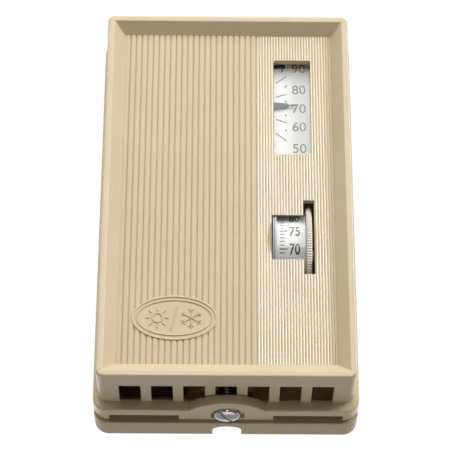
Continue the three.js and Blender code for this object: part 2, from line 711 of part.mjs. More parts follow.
function setpointGroup() {
  const setpoint = new THREE.Group();
  setpoint.position.set(0, SETPOINT_Y, SETPOINT_Z);
  setpoint.add(piece('setpoint_drum', setpointDrum(), whitePlastic));
  setpoint.add(piece('thumbwheel', thumbwheel(), creamPlastic));
  setpoint.add(piece('setpoint_shaft', setpointShaft(), plainSteel));
  setpoint.add(piece('setpoint_cam', setpointCam(), brass));
  setpoint.add(piece('shaft_clip', shaftClip(), springSteel));
  return setpoint;
}

function leverGroup() {
  const lever = new THREE.Group();
  lever.position.set(CONTACT_X, LEVER_Y, LEVER_Z);
  lever.add(piece('follower_lever', followerLever(), springSteel));
  const blade = new THREE.Group();
  blade.position.set(0, BLADE_Y - LEVER_Y, BLADE_BEND_Z - LEVER_Z);
  blade.add(piece('bimetal_blade', bimetalBlade(), bimetal));
  blade.add(piece('moving_contact', movingContact(), silverContact));
  lever.add(blade);
  return lever;
}

function baseGroup() {
  const base = new THREE.Group();
  base.add(piece('base_plate', basePlate(), beigePlastic));
  base.add(piece('cover_clip_left', coverClip(-20), springSteel));
  base.add(piece('cover_clip_right', coverClip(20), springSteel));

  const bracketScrew = { headRadius: 2.2, rim: 0.7, dome: 0.5, radius: 1.1, length: 1.1, slot: 0.5, sides: 16 };
  for (const [name, ear, foot, screwX] of [['left', 7.6, 0.6, 4.1], ['right', 25.2, 32, 29.2]]) {
    base.add(piece(`shaft_bracket_${name}`, shaftBracket(ear, foot), plainSteel));
    const screw = piece(`bracket_screw_${name}`, slottedScrew(bracketScrew), plainSteel);
    base.add(at(screw, screwX, PLATE_FRONT - 2 * FIT - 1.2, -20));
  }

  base.add(piece('lever_bracket', leverBracket(), plainSteel));
  base.add(piece('lever_pin', rodX(1, 2.2, 9.2, LEVER_Y, LEVER_Z, 16), springSteel));
  base.add(piece('fixed_contact', fixedContact(), brass));
  base.add(at(piece('contact_screw', contactScrew(), silverContact), CONTACT_X, -3.5, CONTACT_Z));
  base.add(piece('blade_magnet', bladeMagnet(), greyMagnet));

  base.add(piece('terminal_board', terminalBoard(), brownBoard));
  const terminalScrew = { headRadius: 2.1, rim: 0.8, dome: 0.6, radius: 1.2, length: 0.9, slot: 0.5, sides: 16 };
  for (let i = 0; i < 4; i += 1) {
    const z = -29 - 6 * i;
    base.add(piece(`terminal_plate_${i + 1}`, terminalPlate(z), brass));
    const screw = piece(`terminal_screw_${i + 1}`, slottedScrew(terminalScrew), plainSteel);
    base.add(at(screw, -16.5, -4.8 - FIT, z));
  }

  base.add(piece('anticipator_card', anticipatorCard(), brownBoard));
  base.add(piece('anticipator_wire', anticipatorWire(), springSteel));
  base.add(piece('anticipator_rivet', anticipatorRivet(), brass));
  base.add(at(piece('anticipator_arm', anticipatorArm(), brass), ANTICIPATOR_X, 0, ANTICIPATOR_Z));
  return base;
}

const thermostat = new THREE.Group();
thermostat.add(baseGroup(), coverGroup(), setpointGroup(), leverGroup());

export default thermostat;
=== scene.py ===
"""The looks of the wall thermostat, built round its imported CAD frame.

Sizes in the code are millimetres unless a name says otherwise, and mesh_object() turns them into metres.
+Z is up, the wall is the plane Y = 0 and the front faces -Y.
"""

import math

import bmesh
import bpy
from mathutils import Matrix, Vector


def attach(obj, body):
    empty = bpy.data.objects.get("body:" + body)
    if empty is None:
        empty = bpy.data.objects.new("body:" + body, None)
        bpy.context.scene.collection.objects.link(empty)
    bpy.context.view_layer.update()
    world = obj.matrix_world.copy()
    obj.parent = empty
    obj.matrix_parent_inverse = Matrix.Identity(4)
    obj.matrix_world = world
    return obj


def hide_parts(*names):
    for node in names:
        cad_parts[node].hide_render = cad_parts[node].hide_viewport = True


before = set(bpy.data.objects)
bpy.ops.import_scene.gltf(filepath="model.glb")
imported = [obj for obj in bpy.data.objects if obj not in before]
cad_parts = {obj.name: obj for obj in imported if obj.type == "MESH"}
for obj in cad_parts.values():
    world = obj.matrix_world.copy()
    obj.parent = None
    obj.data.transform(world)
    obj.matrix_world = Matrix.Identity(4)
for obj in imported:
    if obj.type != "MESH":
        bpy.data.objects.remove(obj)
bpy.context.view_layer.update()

MM = 0.001

# ---- Sizes ---------------------------------------------------------------------------------------
# Those of the walls, windows, screw, shaft and drum are the CAD frame's as well. The ribs' shape, the
# softened edges and the ink are for the looks alone.

GAP = 0.3
COVER_HALF_WIDTH = 35
COVER_HALF_HEIGHT = 57.5
COVER_FRONT = -31.3
COVER_CORNER = 2
LIP_WIDTH = 1.8
BEVEL = 3.1
PANEL_FRONT = COVER_FRONT + BEVEL
PANEL_BACK = PANEL_FRONT + 2
PANEL_HALF_WIDTH = COVER_HALF_WIDTH - LIP_WIDTH - BEVEL
PANEL_HALF_HEIGHT = COVER_HALF_HEIGHT - LIP_WIDTH - BEVEL
WALL = 2.2
INSIDE_HALF_WIDTH = COVER_HALF_WIDTH - WALL
INSIDE_FLOOR = WALL - COVER_HALF_HEIGHT

SKIRT_FRONT = -14.4
BASE_FRONT = -8
SKIRT_BACK = BASE_FRONT - GAP
SKIRT_BOTTOM = -60.4
BASE_HALF_WIDTH = COVER_HALF_WIDTH + 1.5
BASE_TOP = COVER_HALF_HEIGHT + 1.5
BASE_BOTTOM = -61.4
BASE_WALL = 2.5
BASE_CORNER = 4
PLATE_FRONT = -1.8
MOUNT_SLOT_X = -6
MOUNT_SLOT_Z = 41.65
MOUNT_SLOT_WIDTH, MOUNT_SLOT_HEIGHT = 4.6, 7
WIRE_ENTRY = (-24, -8, -19, -5)

RIB_DEPTH = 0.35
RIB_CHANGE_X = 8.3
WIDE_RIBS = {"count": 23, "groove": 0.5, "crown": 0.05, "power": 4, "steps": 8}
FINE_RIBS = {"count": 27, "groove": 0.12, "crown": 0.18, "power": 1.0, "steps": 2}

BADGE_X, BADGE_Z = -14.2, -38.9
BADGE_HALF_WIDTH, BADGE_HALF_HEIGHT = 11.75, 6.75

VENT_COUNT, VENT_PITCH, VENT_WIDTH, VENT_FRONT = 7, 8.7, 5.9, -24.7
VENT_BACK = -10
VENT_LEDGE = 0.4

DIAL_WINDOW = (13.3, 24, 12.7, 44.2)
DRUM_WINDOW = (12.5, 21.3, -20.8, -6.9)
WHEEL_SLOT = (21.3, 24.3, -25.3, -2.2)
WHEEL_LEFT, WHEEL_RIGHT = 22, 23.6

SCREW_X, SCREW_Y = 0.3, -12.1
SCREW_HEAD_RADIUS = 3.55
SCREW_RADIUS = 1.75
SCREW_SEAT = SKIRT_BOTTOM + 1.1
SCREW_SLOT_ANGLE = math.radians(60)
POCKET_DEPTH = 1.2

SETPOINT_Y, SETPOINT_Z = -16, -13.75
DRUM_RADIUS = 11.8
WHEEL_RADIUS = 13.9
SHAFT_RADIUS = 2
LENS_INNER_RADIUS, LENS_OUTER_RADIUS = 12.3, 13.3

DIAL_X, DIAL_Z, DIAL_FRONT = 3, 30.5, -23.8
DIAL_SCREW_OFFSET = 16
DIAL_LEFT, DIAL_RIGHT, DIAL_BELOW, DIAL_ABOVE = 7, 22.4, 21, 20
DIAL_THICKNESS = 0.8
POINTER_FRONT, POINTER_BACK = -0.9, -0.45
POINTER_REST = math.radians(2.4)

INK_THICKNESS = 0.03
INK_LIFT = 0.005


# ---- Meshes --------------------------------------------------------------------------------------

def mesh_object(name, points, faces):
    """A mesh in metres from points in millimetres, with its faces turned outwards."""
    mesh = bpy.data.meshes.new(name)
    mesh.from_pydata([[c * MM for c in p] for p in points], [], faces)
    work = bmesh.new()
    work.from_mesh(mesh)
    bmesh.ops.recalc_face_normals(work, faces=work.faces)
    work.to_mesh(mesh)
    work.free()
    obj = bpy.data.objects.new(name, mesh)
    bpy.context.scene.collection.objects.link(obj)
    return obj


def loft(name, loops, ring=False):
    """A skin through loops with the same number of points; a ring joins the last loop to the first."""
    count = len(loops[0])
    points = [p for loop in loops for p in loop]
    faces = []
    for i in range(len(loops) if ring else len(loops) - 1):
        a, b = i * count, ((i + 1) % len(loops)) * count
        for k in range(count):
            n = (k + 1) % count
            faces.append((a + k, a + n, b + n, b + k))
    if not ring:
        faces.append(tuple(range(count)))
        faces.append(tuple(range(len(points) - count, len(points))))
    return mesh_object(name, points, faces)


def rounded_loop(half_width, low, high, radius, y, steps=8):
    """A rounded rectangle in the plane at Y = y."""
    corners = [
        (half_width - radius, low + radius, -90), (half_width - radius, high - radius, 0),
        (radius - half_width, high - radius, 90), (radius - half_width, low + radius, 180),
    ]
    loop = []
    for x, z, start in corners:
        for k in range(steps + 1):
            a = math.radians(start + 90 * k / steps)
            loop.append((x + radius * math.cos(a), y, z + radius * math.sin(a)))
    return loop


def placed(axis, a, b, along):
    """Where outline point (a, b) lies: (y, z) across X, (x, z) across Y and (x, y) across Z."""
    return {"X": (along, a, b), "Y": (a, along, b), "Z": (a, b, along)}[axis]


def prism(name, outline, axis, low, high):
    """An outline in the plane across an axis, pushed from low to high along it."""
    return loft(name, [[placed(axis, a, b, t) for a, b in outline] for t in (low, high)])


def block(left, right, front, back, low, high):
    """A box with sides square to the axes."""
    return prism("block", [(left, front), (right, front), (right, back), (left, back)], "Z", low, high)


def arc(x, y, radius_x, radius_y, start, end, steps):
    """Points on an ellipse from one angle to another, in degrees."""
    angles = [math.radians(start + (end - start) * k / steps) for k in range(steps + 1)]
    return [(x + radius_x * math.cos(a), y + radius_y * math.sin(a)) for a in angles]


def circle(x, y, radius, steps=48):
    """Points round a whole circle, without the last one repeated."""
    return arc(x, y, radius, radius, 0, 360, steps)[:-1]


def rounded_outline(left, right, low, high, radius, steps=5):
    """A rounded rectangle as (a, b) points, for prism()."""
    return [(p[0], p[2]) for p in (
        (x + (left + right) / 2, y, z) for x, y, z in
        rounded_loop((right - left) / 2, low, high, radius, 0, steps))]


def rod(axis, radius, low, high, a, b, steps=48):
    """A round bar along an axis that passes through (a, b)."""
    return prism("rod", circle(a, b, radius, steps), axis, low, high)


def turned(name, axis, profile, a, b, steps=96):
    """A closed profile of (radius, along) turned about an axis through (a, b)."""
    loops = []
    for k in range(steps):
        angle = 2 * math.pi * k / steps
        loops.append([placed(axis, a + r * math.cos(angle), b + r * math.sin(angle), t) for r, t in profile])
    return loft(name, loops, ring=True)


def merged(name, objects):
    """Joins separate meshes into one object."""
    work = bmesh.new()
    for obj in objects:
        work.from_mesh(obj.data)
        bpy.data.objects.remove(obj)
    mesh = bpy.data.meshes.new(name)
    work.to_mesh(mesh)
    work.free()
    joined = bpy.data.objects.new(name, mesh)
    bpy.context.scene.collection.objects.link(joined)
    return joined


def baked(obj):
    """Applies the modifiers."""
    graph = bpy.context.evaluated_depsgraph_get()
    mesh = bpy.data.meshes.new_from_object(obj.evaluated_get(graph))
    obj.modifiers.clear()
    obj.data = mesh
    return obj


def combine(obj, operation, tool):
    """Applies one boolean step to a mesh and removes the tool."""
    step = obj.modifiers.new("combine", "BOOLEAN")
    step.operation = operation
    step.solver = "EXACT"
    step.object = tool
    baked(obj)
    bpy.data.objects.remove(tool)
    return obj


def add(obj, *tools):
    """Unites the tools with a mesh."""
    for tool in tools:
        combine(obj, "UNION", tool)
    return obj


def cut(obj, *tools):
    """Takes the tools out of a mesh."""
    for tool in tools:
        combine(obj, "DIFFERENCE", tool)
    return obj


def cleaned(obj, angle=32):
    """Welds slivers, marks sharp edges and keeps broad faces flat in the shading."""
    work = bmesh.new()
    work.from_mesh(obj.data)
    bmesh.ops.remove_doubles(work, verts=work.verts, dist=2e-6)
    bmesh.ops.dissolve_degenerate(work, edges=work.edges, dist=1e-6)
    work.to_mesh(obj.data)
    work.free()
    obj.data.polygons.foreach_set("use_smooth", [True] * len(obj.data.polygons))
    obj.data.set_sharp_from_angle(angle=math.radians(angle))
    weighted = obj.modifiers.new("weighted", "WEIGHTED_NORMAL")
    weighted.keep_sharp = True
    return obj


def rounding(radius, steps=5):
    """(inset, setback) pairs round a quarter circle, from a front face to a side face."""
    for k in range(steps + 1):
        a = math.radians(90 * k / steps)
        yield radius * (1 - math.sin(a)), radius * (1 - math.cos(a))


# ---- Materials -----------------------------------------------------------------------------------

class Shader:
    """A Principled material and short ways to add the nodes that its detail needs."""

    def __init__(self, name, color, roughness, metallic=0.0):
        self.material = bpy.data.materials.new(name)
        self.material.use_nodes = True
        self.tree = self.material.node_tree
        self.bsdf = self.tree.nodes["Principled BSDF"]
        self.color = (*color, 1.0)
        self.set("Base Color", self.color)
        self.set("Roughness", roughness)
        self.set("Metallic", metallic)
        self.place = self.node("ShaderNodeTexCoord").outputs["Object"]

    def set(self, socket, value):
        self.bsdf.inputs[socket].default_value = value

    def node(self, kind, **values):
        made = self.tree.nodes.new(kind)
        for key, value in values.items():
            if hasattr(made, key):
                setattr(made, key, value)
            else:
                made.inputs[key.replace("_", " ")].default_value = value
        return made

    def link(self, source, target):
        self.tree.links.new(source, target)

    def noise(self, size_mm, detail=3.0, stretch=(1, 1, 1)):
        """Noise with features about size_mm across, stretched along an axis where that is above 1."""
        mapping = self.node("ShaderNodeMapping")
        mapping.inputs["Scale"].default_value = [1 / s for s in stretch]
        self.link(self.place, mapping.inputs["Vector"])
        made = self.node("ShaderNodeTexNoise", Scale=1 / (size_mm * MM), Detail=detail)
        self.link(mapping.outputs["Vector"], made.inputs["Vector"])
        return made.outputs["Fac"]

    def ranged(self, value, low, high, from_low=0.3, from_high=0.7):
        made = self.node("ShaderNodeMapRange", From_Min=from_low, From_Max=from_high, To_Min=low, To_Max=high)
        self.link(value, made.inputs["Value"])
        return made.outputs["Result"]

    def mixed(self, factor, first, second):
        """Mixes two colours or colour sockets."""
        made = self.node("ShaderNodeMix", data_type="RGBA")
        self.link(factor, made.inputs[0])
        for socket, value in ((made.inputs[6], first), (made.inputs[7], second)):
            if isinstance(value, bpy.types.NodeSocket):
                self.link(value, socket)
            else:
                socket.default_value = value
        return made.outputs[2]

    def scaled(self, factor):
        return (*[min(1.0, c * factor) for c in self.color[:3]], 1.0)

    def edges(self, radius_mm):
        """How much a softened normal differs from the true one, which is high on sharp edges."""
        soft = self.node("ShaderNodeBevel", samples=4)
        soft.inputs["Radius"].default_value = radius_mm * MM
        true = self.node("ShaderNodeNewGeometry")
        dot = self.node("ShaderNodeVectorMath", operation="DOT_PRODUCT")
        self.link(soft.outputs["Normal"], dot.inputs[0])
        self.link(true.outputs["Normal"], dot.inputs[1])
        return soft.outputs["Normal"], self.ranged(dot.outputs["Value"], 1.0, 0.0, 0.8, 0.985)

    def bump(self, height, depth_mm, strength=1.0, normal=None):
        made = self.node("ShaderNodeBump")
        made.inputs["Strength"].default_value = strength
        made.inputs["Distance"].default_value = depth_mm * MM
        self.link(height, made.inputs["Height"])
        if normal is not None:
            self.link(normal, made.inputs["Normal"])
        return made.outputs["Normal"]


def plastic(name, color, roughness, grain_mm=0.35, grain_depth=0.012, edge_highlight_and_patch_tone=1.06, spread=0.05, edge=0.12):
    """Moulded plastic: a faint tint drift, patchy gloss, a fine grain and sharp edges painted lighter as a
    painted highlight.
    """
    s = Shader(name, color, roughness)
    tint = s.ranged(s.noise(14, 4), 0, 1)
    base = s.mixed(tint, s.scaled(0.975), s.scaled(1.02))
    soft_normal, painted_highlight_mask = s.edges(edge)
    # Sharp edges are mixed towards a lighter colour: a painted highlight along the rims.
    s.link(s.mixed(painted_highlight_mask, base, s.scaled(edge_highlight_and_patch_tone)), s.bsdf.inputs["Base Color"])
    s.link(s.ranged(s.noise(3.5, 5), roughness - spread, roughness + spread), s.bsdf.inputs["Roughness"])
    s.link(s.bump(s.noise(grain_mm, 4), grain_depth, 0.6, soft_normal), s.bsdf.inputs["Normal"])
    s.set("IOR", 1.5)
    return s


def speckled(shader, amount=0.62):
    """Adds a few small dirt specks to a plastic."""
    spots = shader.node("ShaderNodeTexVoronoi", Scale=1 / (16 * MM))
    shader.link(shader.place, spots.inputs["Vector"])
    speck = shader.ranged(spots.outputs["Distance"], 1.0, 0.0, 0.012, 0.03)
    before = shader.bsdf.inputs["Base Color"].links[0].from_socket
    shader.link(shader.mixed(speck, before, shader.scaled(amount)), shader.bsdf.inputs["Base Color"])
    return shader


def metal(name, color, roughness, brushed=(1, 1, 12), tarnish=0.8):
    """Sheet metal: fine brushed lines along one axis, patchy gloss and a darker tarnish."""
    s = Shader(name, color, roughness, metallic=1.0)
    lines = s.noise(0.12, 3, brushed)
    patches = s.ranged(s.noise(2.2, 5), 0, 1)
    s.link(s.mixed(patches, s.scaled(tarnish), s.color), s.bsdf.inputs["Base Color"])
    s.link(s.ranged(lines, roughness - 0.08, roughness + 0.12), s.bsdf.inputs["Roughness"])
    soft_normal, _ = s.edges(0.06)
    s.link(s.bump(lines, 0.004, 0.5, soft_normal), s.bsdf.inputs["Normal"])
    return s


def enamel(name, color, roughness, edge_highlight_and_patch_tone=0.9):
    """Stoved enamel or print: an even coat with a faint orange peel."""
    s = Shader(name, color, roughness)
    s.link(s.mixed(s.ranged(s.noise(5, 3), 0, 1), s.scaled(edge_highlight_and_patch_tone), s.color), s.bsdf.inputs["Base Color"])
    s.link(s.ranged(s.noise(1.5, 3), roughness - 0.06, roughness + 0.06), s.bsdf.inputs["Roughness"])
    s.link(s.bump(s.noise(0.6, 2), 0.004, 0.5), s.bsdf.inputs["Normal"])
    return s


def faded(shader, start_mm, end_mm, pale):
    """Pales a print towards +X: painted glare, standing in for a lamp's reflection in the window over the
    dial's right part.
    """
    across = shader.node("ShaderNodeSeparateXYZ")
    shader.link(shader.place, across.inputs[0])
    painted_highlight_mask = shader.ranged(across.outputs["X"], 0, 1, start_mm * MM, end_mm * MM)
    before = shader.bsdf.inputs["Base Color"].links[0].from_socket
    shader.link(shader.mixed(painted_highlight_mask, before, (*pale, 1.0)), shader.bsdf.inputs["Base Color"])
    return shader


def clear_plastic(name, roughness=0.03):
    """Clear moulded plastic: light goes straight through, and its surface shines more at a slant."""
    s = Shader(name, (0.97, 0.98, 0.97), roughness)
    rubbed = s.ranged(s.noise(2.5, 4), roughness * 0.5, roughness * 2.5)
    ripple = s.bump(s.noise(3.0, 2), 0.003, 0.3)
    shine = s.node("ShaderNodeBsdfGlossy")
    s.link(rubbed, shine.inputs["Roughness"])
    s.link(ripple, shine.inputs["Normal"])
    through = s.node("ShaderNodeBsdfTransparent")
    through.inputs["Color"].default_value = (0.98, 0.985, 0.98, 1)
    slant = s.node("ShaderNodeLayerWeight")
    slant.inputs["Blend"].default_value = 0.5
    steep = s.node("ShaderNodeMath", operation="POWER")
    steep.inputs[1].default_value = 5
    s.link(slant.outputs["Facing"], steep.inputs[0])
    both = s.node("ShaderNodeMixShader")
    s.link(s.ranged(steep.outputs[0], 0.04, 1.0, 0.0, 1.0), both.inputs[0])
    s.link(through.outputs[0], both.inputs[1])
    s.link(shine.outputs[0], both.inputs[2])
    s.link(both.outputs[0], s.tree.nodes["Material Output"].inputs["Surface"])
    return s


def linear(*rgb):
    """An sRGB colour out of 255 as linear light."""
    return tuple(((c / 255 + 0.055) / 1.055) ** 2.4 for c in rgb)


COVER = speckled(plastic("cover_moulding", linear(212, 193, 160), 0.22, spread=0.04))
MATTE = speckled(plastic("cover_moulding_matte", linear(212, 193, 160), 0.48, spread=0.05))
BASE = plastic("base_moulding", linear(196, 175, 143), 0.46)
CLEAR = clear_plastic("clear_moulding")
FROSTED = plastic("frosted_rim", linear(206, 202, 210), 0.25, edge_highlight_and_patch_tone=1.2, edge=0.2)
DIAL = enamel("dial_enamel", linear(250, 250, 249), 0.4, edge_highlight_and_patch_tone=0.985)
DRUM = plastic("drum_moulding", linear(240, 239, 236), 0.35, edge_highlight_and_patch_tone=1.0)
WHEEL = plastic("wheel_moulding", linear(238, 233, 222), 0.40, edge_highlight_and_patch_tone=1.03, edge=0.06)
INK = enamel("black_print", linear(30, 29, 31), 0.55)
# The dial's ink pales towards +X as painted glare.
DIAL_INK = faded(enamel("dial_print_glare_paled", linear(40, 38, 40), 0.55), 17, 25, linear(150, 150, 152))
POINTER = enamel("pointer_enamel", linear(22, 22, 26), 0.35)
SPRING_STEEL = metal("spring_steel_sheet", linear(186, 188, 190), 0.28)
PLAIN_STEEL = metal("zinc_plate", linear(172, 174, 176), 0.34, brushed=(1, 1, 1))
CHROME = metal("bright_plate", linear(226, 226, 228), 0.10, brushed=(1, 1, 1), tarnish=0.9)
BRASS = metal("brass_sheet", linear(201, 164, 92), 0.28)
BIMETAL = metal("bimetal_strip", linear(176, 138, 106), 0.32)
SILVER = metal("silver_contact_metal", linear(220, 222, 223), 0.22, brushed=(1, 1, 1))
BOARD = plastic("insulating_board", linear(90, 58, 38), 0.55, grain_mm=0.6, edge_highlight_and_patch_tone=1.3)
MAGNET = plastic("sintered_magnet", linear(77, 79, 83), 0.5, grain_mm=0.2, grain_depth=0.02, edge_highlight_and_patch_tone=1.3)


# ---- Pieces --------------------------------------------------------------------------------------

def piece(obj, body, shader, slot, *nodes):
    """Gives a piece its material and its body, and hides the CAD nodes that it stands for. Its slot is not
    used.
    """
    obj.data.materials.clear()
    obj.data.materials.append(shader.material)
    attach(obj, body)
    if nodes:
        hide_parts(*nodes)
    return obj


def rib_profile():
    """The crests and grooves of the front from left to right, in X and Y.

    A crest falls back by its crown towards its edges, and a higher power keeps its middle flatter.
    """
    points = []

    def ribs(left, right, count, groove, crown, power, steps):
        pitch = (right - left) / count
        half = (pitch - groove) / 2
        for k in range(count):
            middle = left + (k + 0.5) * pitch
            for step in range(steps + 1):
                t = 2 * step / steps - 1
                points.append((middle + t * half, PANEL_FRONT + crown * abs(t) ** power))
            points.append((middle + half + groove * 0.3, PANEL_FRONT + RIB_DEPTH))
            points.append((middle + half + groove * 0.7, PANEL_FRONT + RIB_DEPTH))

    ribs(-PANEL_HALF_WIDTH, RIB_CHANGE_X, **WIDE_RIBS)
    ribs(RIB_CHANGE_X, PANEL_HALF_WIDTH, **FINE_RIBS)
    return points[:-2]


def cover_ring():
    """The frame of the cover: lip, bevels, sides, stepped skirt and inner walls."""
    wide, tall = PANEL_HALF_WIDTH, PANEL_HALF_HEIGHT
    loops = []

    def section(grow, radius, y):
        loops.append(rounded_loop(wide + grow, -tall - grow, tall + grow, radius, y))

    soft = 0.12
    section(0, 0.3, PANEL_FRONT + 1)
    section(0, 0.3, PANEL_FRONT + soft)
    section(soft, 0.3, PANEL_FRONT - soft)
    section(BEVEL - soft, 0.45, COVER_FRONT + soft)
    section(BEVEL + soft, 0.5, COVER_FRONT)
    side = COVER_HALF_WIDTH - PANEL_HALF_WIDTH
    for inset, setback in rounding(0.55):
        section(side - inset, COVER_CORNER - inset, COVER_FRONT + setback)
    section(side, COVER_CORNER, SKIRT_FRONT - 0.3)
    section(side + 0.08, COVER_CORNER + 0.1, SKIRT_FRONT - 0.08)
    section(side + 0.3, COVER_CORNER + 0.3, SKIRT_FRONT)
    skirt = [(inset, SKIRT_FRONT + setback) for inset, setback in rounding(0.5)]
    skirt += [(0, SKIRT_BACK - 0.15), (0.15, SKIRT_BACK)]
    for inset, y in skirt:
        low, high = SKIRT_BOTTOM + inset, BASE_TOP - inset
        loops.append(rounded_loop(BASE_HALF_WIDTH - inset, low, high, BASE_CORNER - inset, y))
    for grow, y in ((0.15, SKIRT_BACK), (0, SKIRT_BACK - 0.15), (0, PANEL_FRONT + 1.4)):
        low, high = INSIDE_FLOOR - grow, -INSIDE_FLOOR + grow
        loops.append(rounded_loop(INSIDE_HALF_WIDTH + grow, low, high, 0.9, y))
    return loft("cover_moulded", loops, ring=True)


def screw_lump():
    """The round lump that the bottom of the skirt makes about the cover screw."""
    half, rise = 10.3, 5.1
    radius = (half ** 2 + rise ** 2) / (2 * rise)
    centre = SKIRT_FRONT - rise + radius
    loops = []
    for inset, setback in rounding(0.35, 4):
        r = radius - inset
        reach = math.degrees(math.asin(min(1, (centre - SKIRT_FRONT) / r)))
        outline = arc(SCREW_X, centre, r, r, 360 - reach, 180 + reach, 32)
        outline = [(x, min(y, SKIRT_FRONT)) for x, y in outline]
        outline += [(outline[-1][0], SKIRT_FRONT + 1), (outline[0][0], SKIRT_FRONT + 1)]
        loops.append([(x, y, SKIRT_BOTTOM + setback) for x, y in outline])
    loops.append([(x, y, -COVER_HALF_HEIGHT - VENT_LEDGE / 2) for x, y, _ in loops[-1]])
    return loft("lump", loops)


def screw_pocket():
    """The recess for the screw's head, square at the back and arched at the front."""
    middle, half = SCREW_X + 0.15, 4.55
    outline = [(middle - half, -9.55), (middle + half, -9.55)] + arc(middle, -12.5, half, 3.4, 0, -180, 24)
    return prism("pocket", outline, "Z", SKIRT_BOTTOM - 1, SKIRT_BOTTOM + POCKET_DEPTH)


def vent_tools():
    """Every vent, top and bottom, as one tool that also opens them back over the skirt's ledge."""
    tools = []
    inner, outer = COVER_HALF_HEIGHT - VENT_LEDGE, COVER_HALF_HEIGHT + 1
    for k in range(VENT_COUNT):
        middle = (k - (VENT_COUNT - 1) / 2) * VENT_PITCH
        left, right = middle - VENT_WIDTH / 2, middle + VENT_WIDTH / 2
        through = rounded_outline(left, right, VENT_FRONT, SKIRT_FRONT, 0.25, 3)
        over = rounded_outline(left, right, VENT_FRONT + 1, VENT_BACK, 0.25, 3)
        tools.append(prism("vent", through, "Z", -outer, INSIDE_FLOOR + 0.5))
        tools.append(prism("vent", through, "Z", -INSIDE_FLOOR - 0.5, outer))
        tools.append(prism("vent", over, "Z", -inner, INSIDE_FLOOR + 0.5))
        tools.append(prism("vent", over, "Z", -INSIDE_FLOOR - 0.5, inner))
    first = tools.pop()
    return add(first, *tools)


def cover_shell():
    """The cover: its frame, panel, ribs, lump and inner posts, with every opening cut."""
    ring = cut(cover_ring(), vent_tools())
    plate = block(-INSIDE_HALF_WIDTH - 0.8, INSIDE_HALF_WIDTH + 0.8, PANEL_FRONT + 0.75, PANEL_BACK,
                  INSIDE_FLOOR - 0.8, 0.8 - INSIDE_FLOOR)
    profile = rib_profile()
    edge = PANEL_HALF_WIDTH + 0.1
    outline = [(-edge, PANEL_FRONT + 1.2), (-edge, PANEL_FRONT + 0.02)] + profile
    outline += [(edge, PANEL_FRONT + 0.02), (edge, PANEL_FRONT + 1.2)]
    ribs = prism("ribs", outline, "Z", -PANEL_HALF_HEIGHT - 0.1, PANEL_HALF_HEIGHT + 0.1)
    pad = prism("pad", arc(BADGE_X, BADGE_Z, BADGE_HALF_WIDTH, BADGE_HALF_HEIGHT, 0, 360, 96)[:-1], "Y",
                PANEL_FRONT + 0.01, PANEL_FRONT + 1.1)
    add(ring, plate, ribs, pad, screw_lump())

    for side in (-1, 1):
        wall = side * (INSIDE_HALF_WIDTH + 0.1)
        gusset = [(wall, PANEL_BACK - 0.1), (wall - side * 4.1, PANEL_BACK - 0.1), (wall, PANEL_BACK + 4)]
        add(ring, prism("gusset", gusset, "Z", INSIDE_FLOOR - 0.1, 0.1 - INSIDE_FLOOR))
        add(ring, rod("Y", 3, PANEL_BACK - 0.1, -12, side * 20.8, -49))
        screw_z = DIAL_Z + side * DIAL_SCREW_OFFSET
        add(ring, rod("Y", 2.5, PANEL_BACK - 0.1, DIAL_FRONT - 0.1, DIAL_X, screw_z))
        near, far = sorted((side * 13, side * 32))
        cut(ring, rod("Y", 1.2, PANEL_BACK + 0.4, 0, DIAL_X, screw_z, 24),
            block(near, far, -11.3, 0, SKIRT_BOTTOM - 1, INSIDE_FLOOR + 0.3))

    left, right, low, high = DIAL_WINDOW
    cut(ring, prism("window", rounded_outline(left, right, low, high, 0.6), "Y", COVER_FRONT, -25))
    left, right, low, high = DRUM_WINDOW
    cut(ring, prism("window", rounded_outline(left, right + 0.5, low, high, 0.3), "Y", COVER_FRONT, -25))
    left, right, low, high = WHEEL_SLOT
    cut(ring, prism("slot", rounded_outline(left, right, low, high, 0.2), "Y", COVER_FRONT, -25))
    left, right = DRUM_WINDOW[:2]
    cut(ring, rod("X", LENS_OUTER_RADIUS + GAP, left, right + 0.01, SETPOINT_Y, SETPOINT_Z, 160))

    low = SKIRT_BOTTOM - 1
    cut(ring, screw_pocket(),
        rod("Z", SCREW_HEAD_RADIUS + GAP, low, SKIRT_BOTTOM + POCKET_DEPTH, SCREW_X, SCREW_Y),
        rod("Z", SCREW_RADIUS + GAP, low, INSIDE_FLOOR + 1, SCREW_X, SCREW_Y))
    return cleaned(ring)


def matte_field(shell):
    """The wide ribs are duller than the rest of the cover."""
    shell.data.materials.append(MATTE.material)
    for face in shell.data.polygons:
        x, y, z = face.center / MM
        if -PANEL_HALF_WIDTH < x < RIB_CHANGE_X and abs(z) < PANEL_HALF_HEIGHT and abs(y - PANEL_FRONT) < 0.6:
            face.material_index = 1


# ---- Badge ---------------------------------------------------------------------------------------

def ridge(points, width, closed=False):
    """A raised line along points on the badge, as a chain of short bars with a softened top."""
    low, high = PANEL_FRONT + 0.3, PANEL_FRONT - 0.24
    count = len(points)
    loops = []
    for k, (x, z) in enumerate(points):
        before = points[k - 1] if k or closed else points[k]
        after = points[(k + 1) % count] if k < count - 1 or closed else points[k]
        along = Vector((after[0] - before[0], after[1] - before[1])).normalized()
        side = Vector((-along.y, along.x)) * width / 2
        section = [(-1, low), (-1, high + 0.1), (-0.6, high), (0.6, high), (1, high + 0.1), (1, low)]
        loops.append([(x + side.x * s, y, z + side.y * s) for s, y in section])
    return loft("ridge", loops, ring=closed)


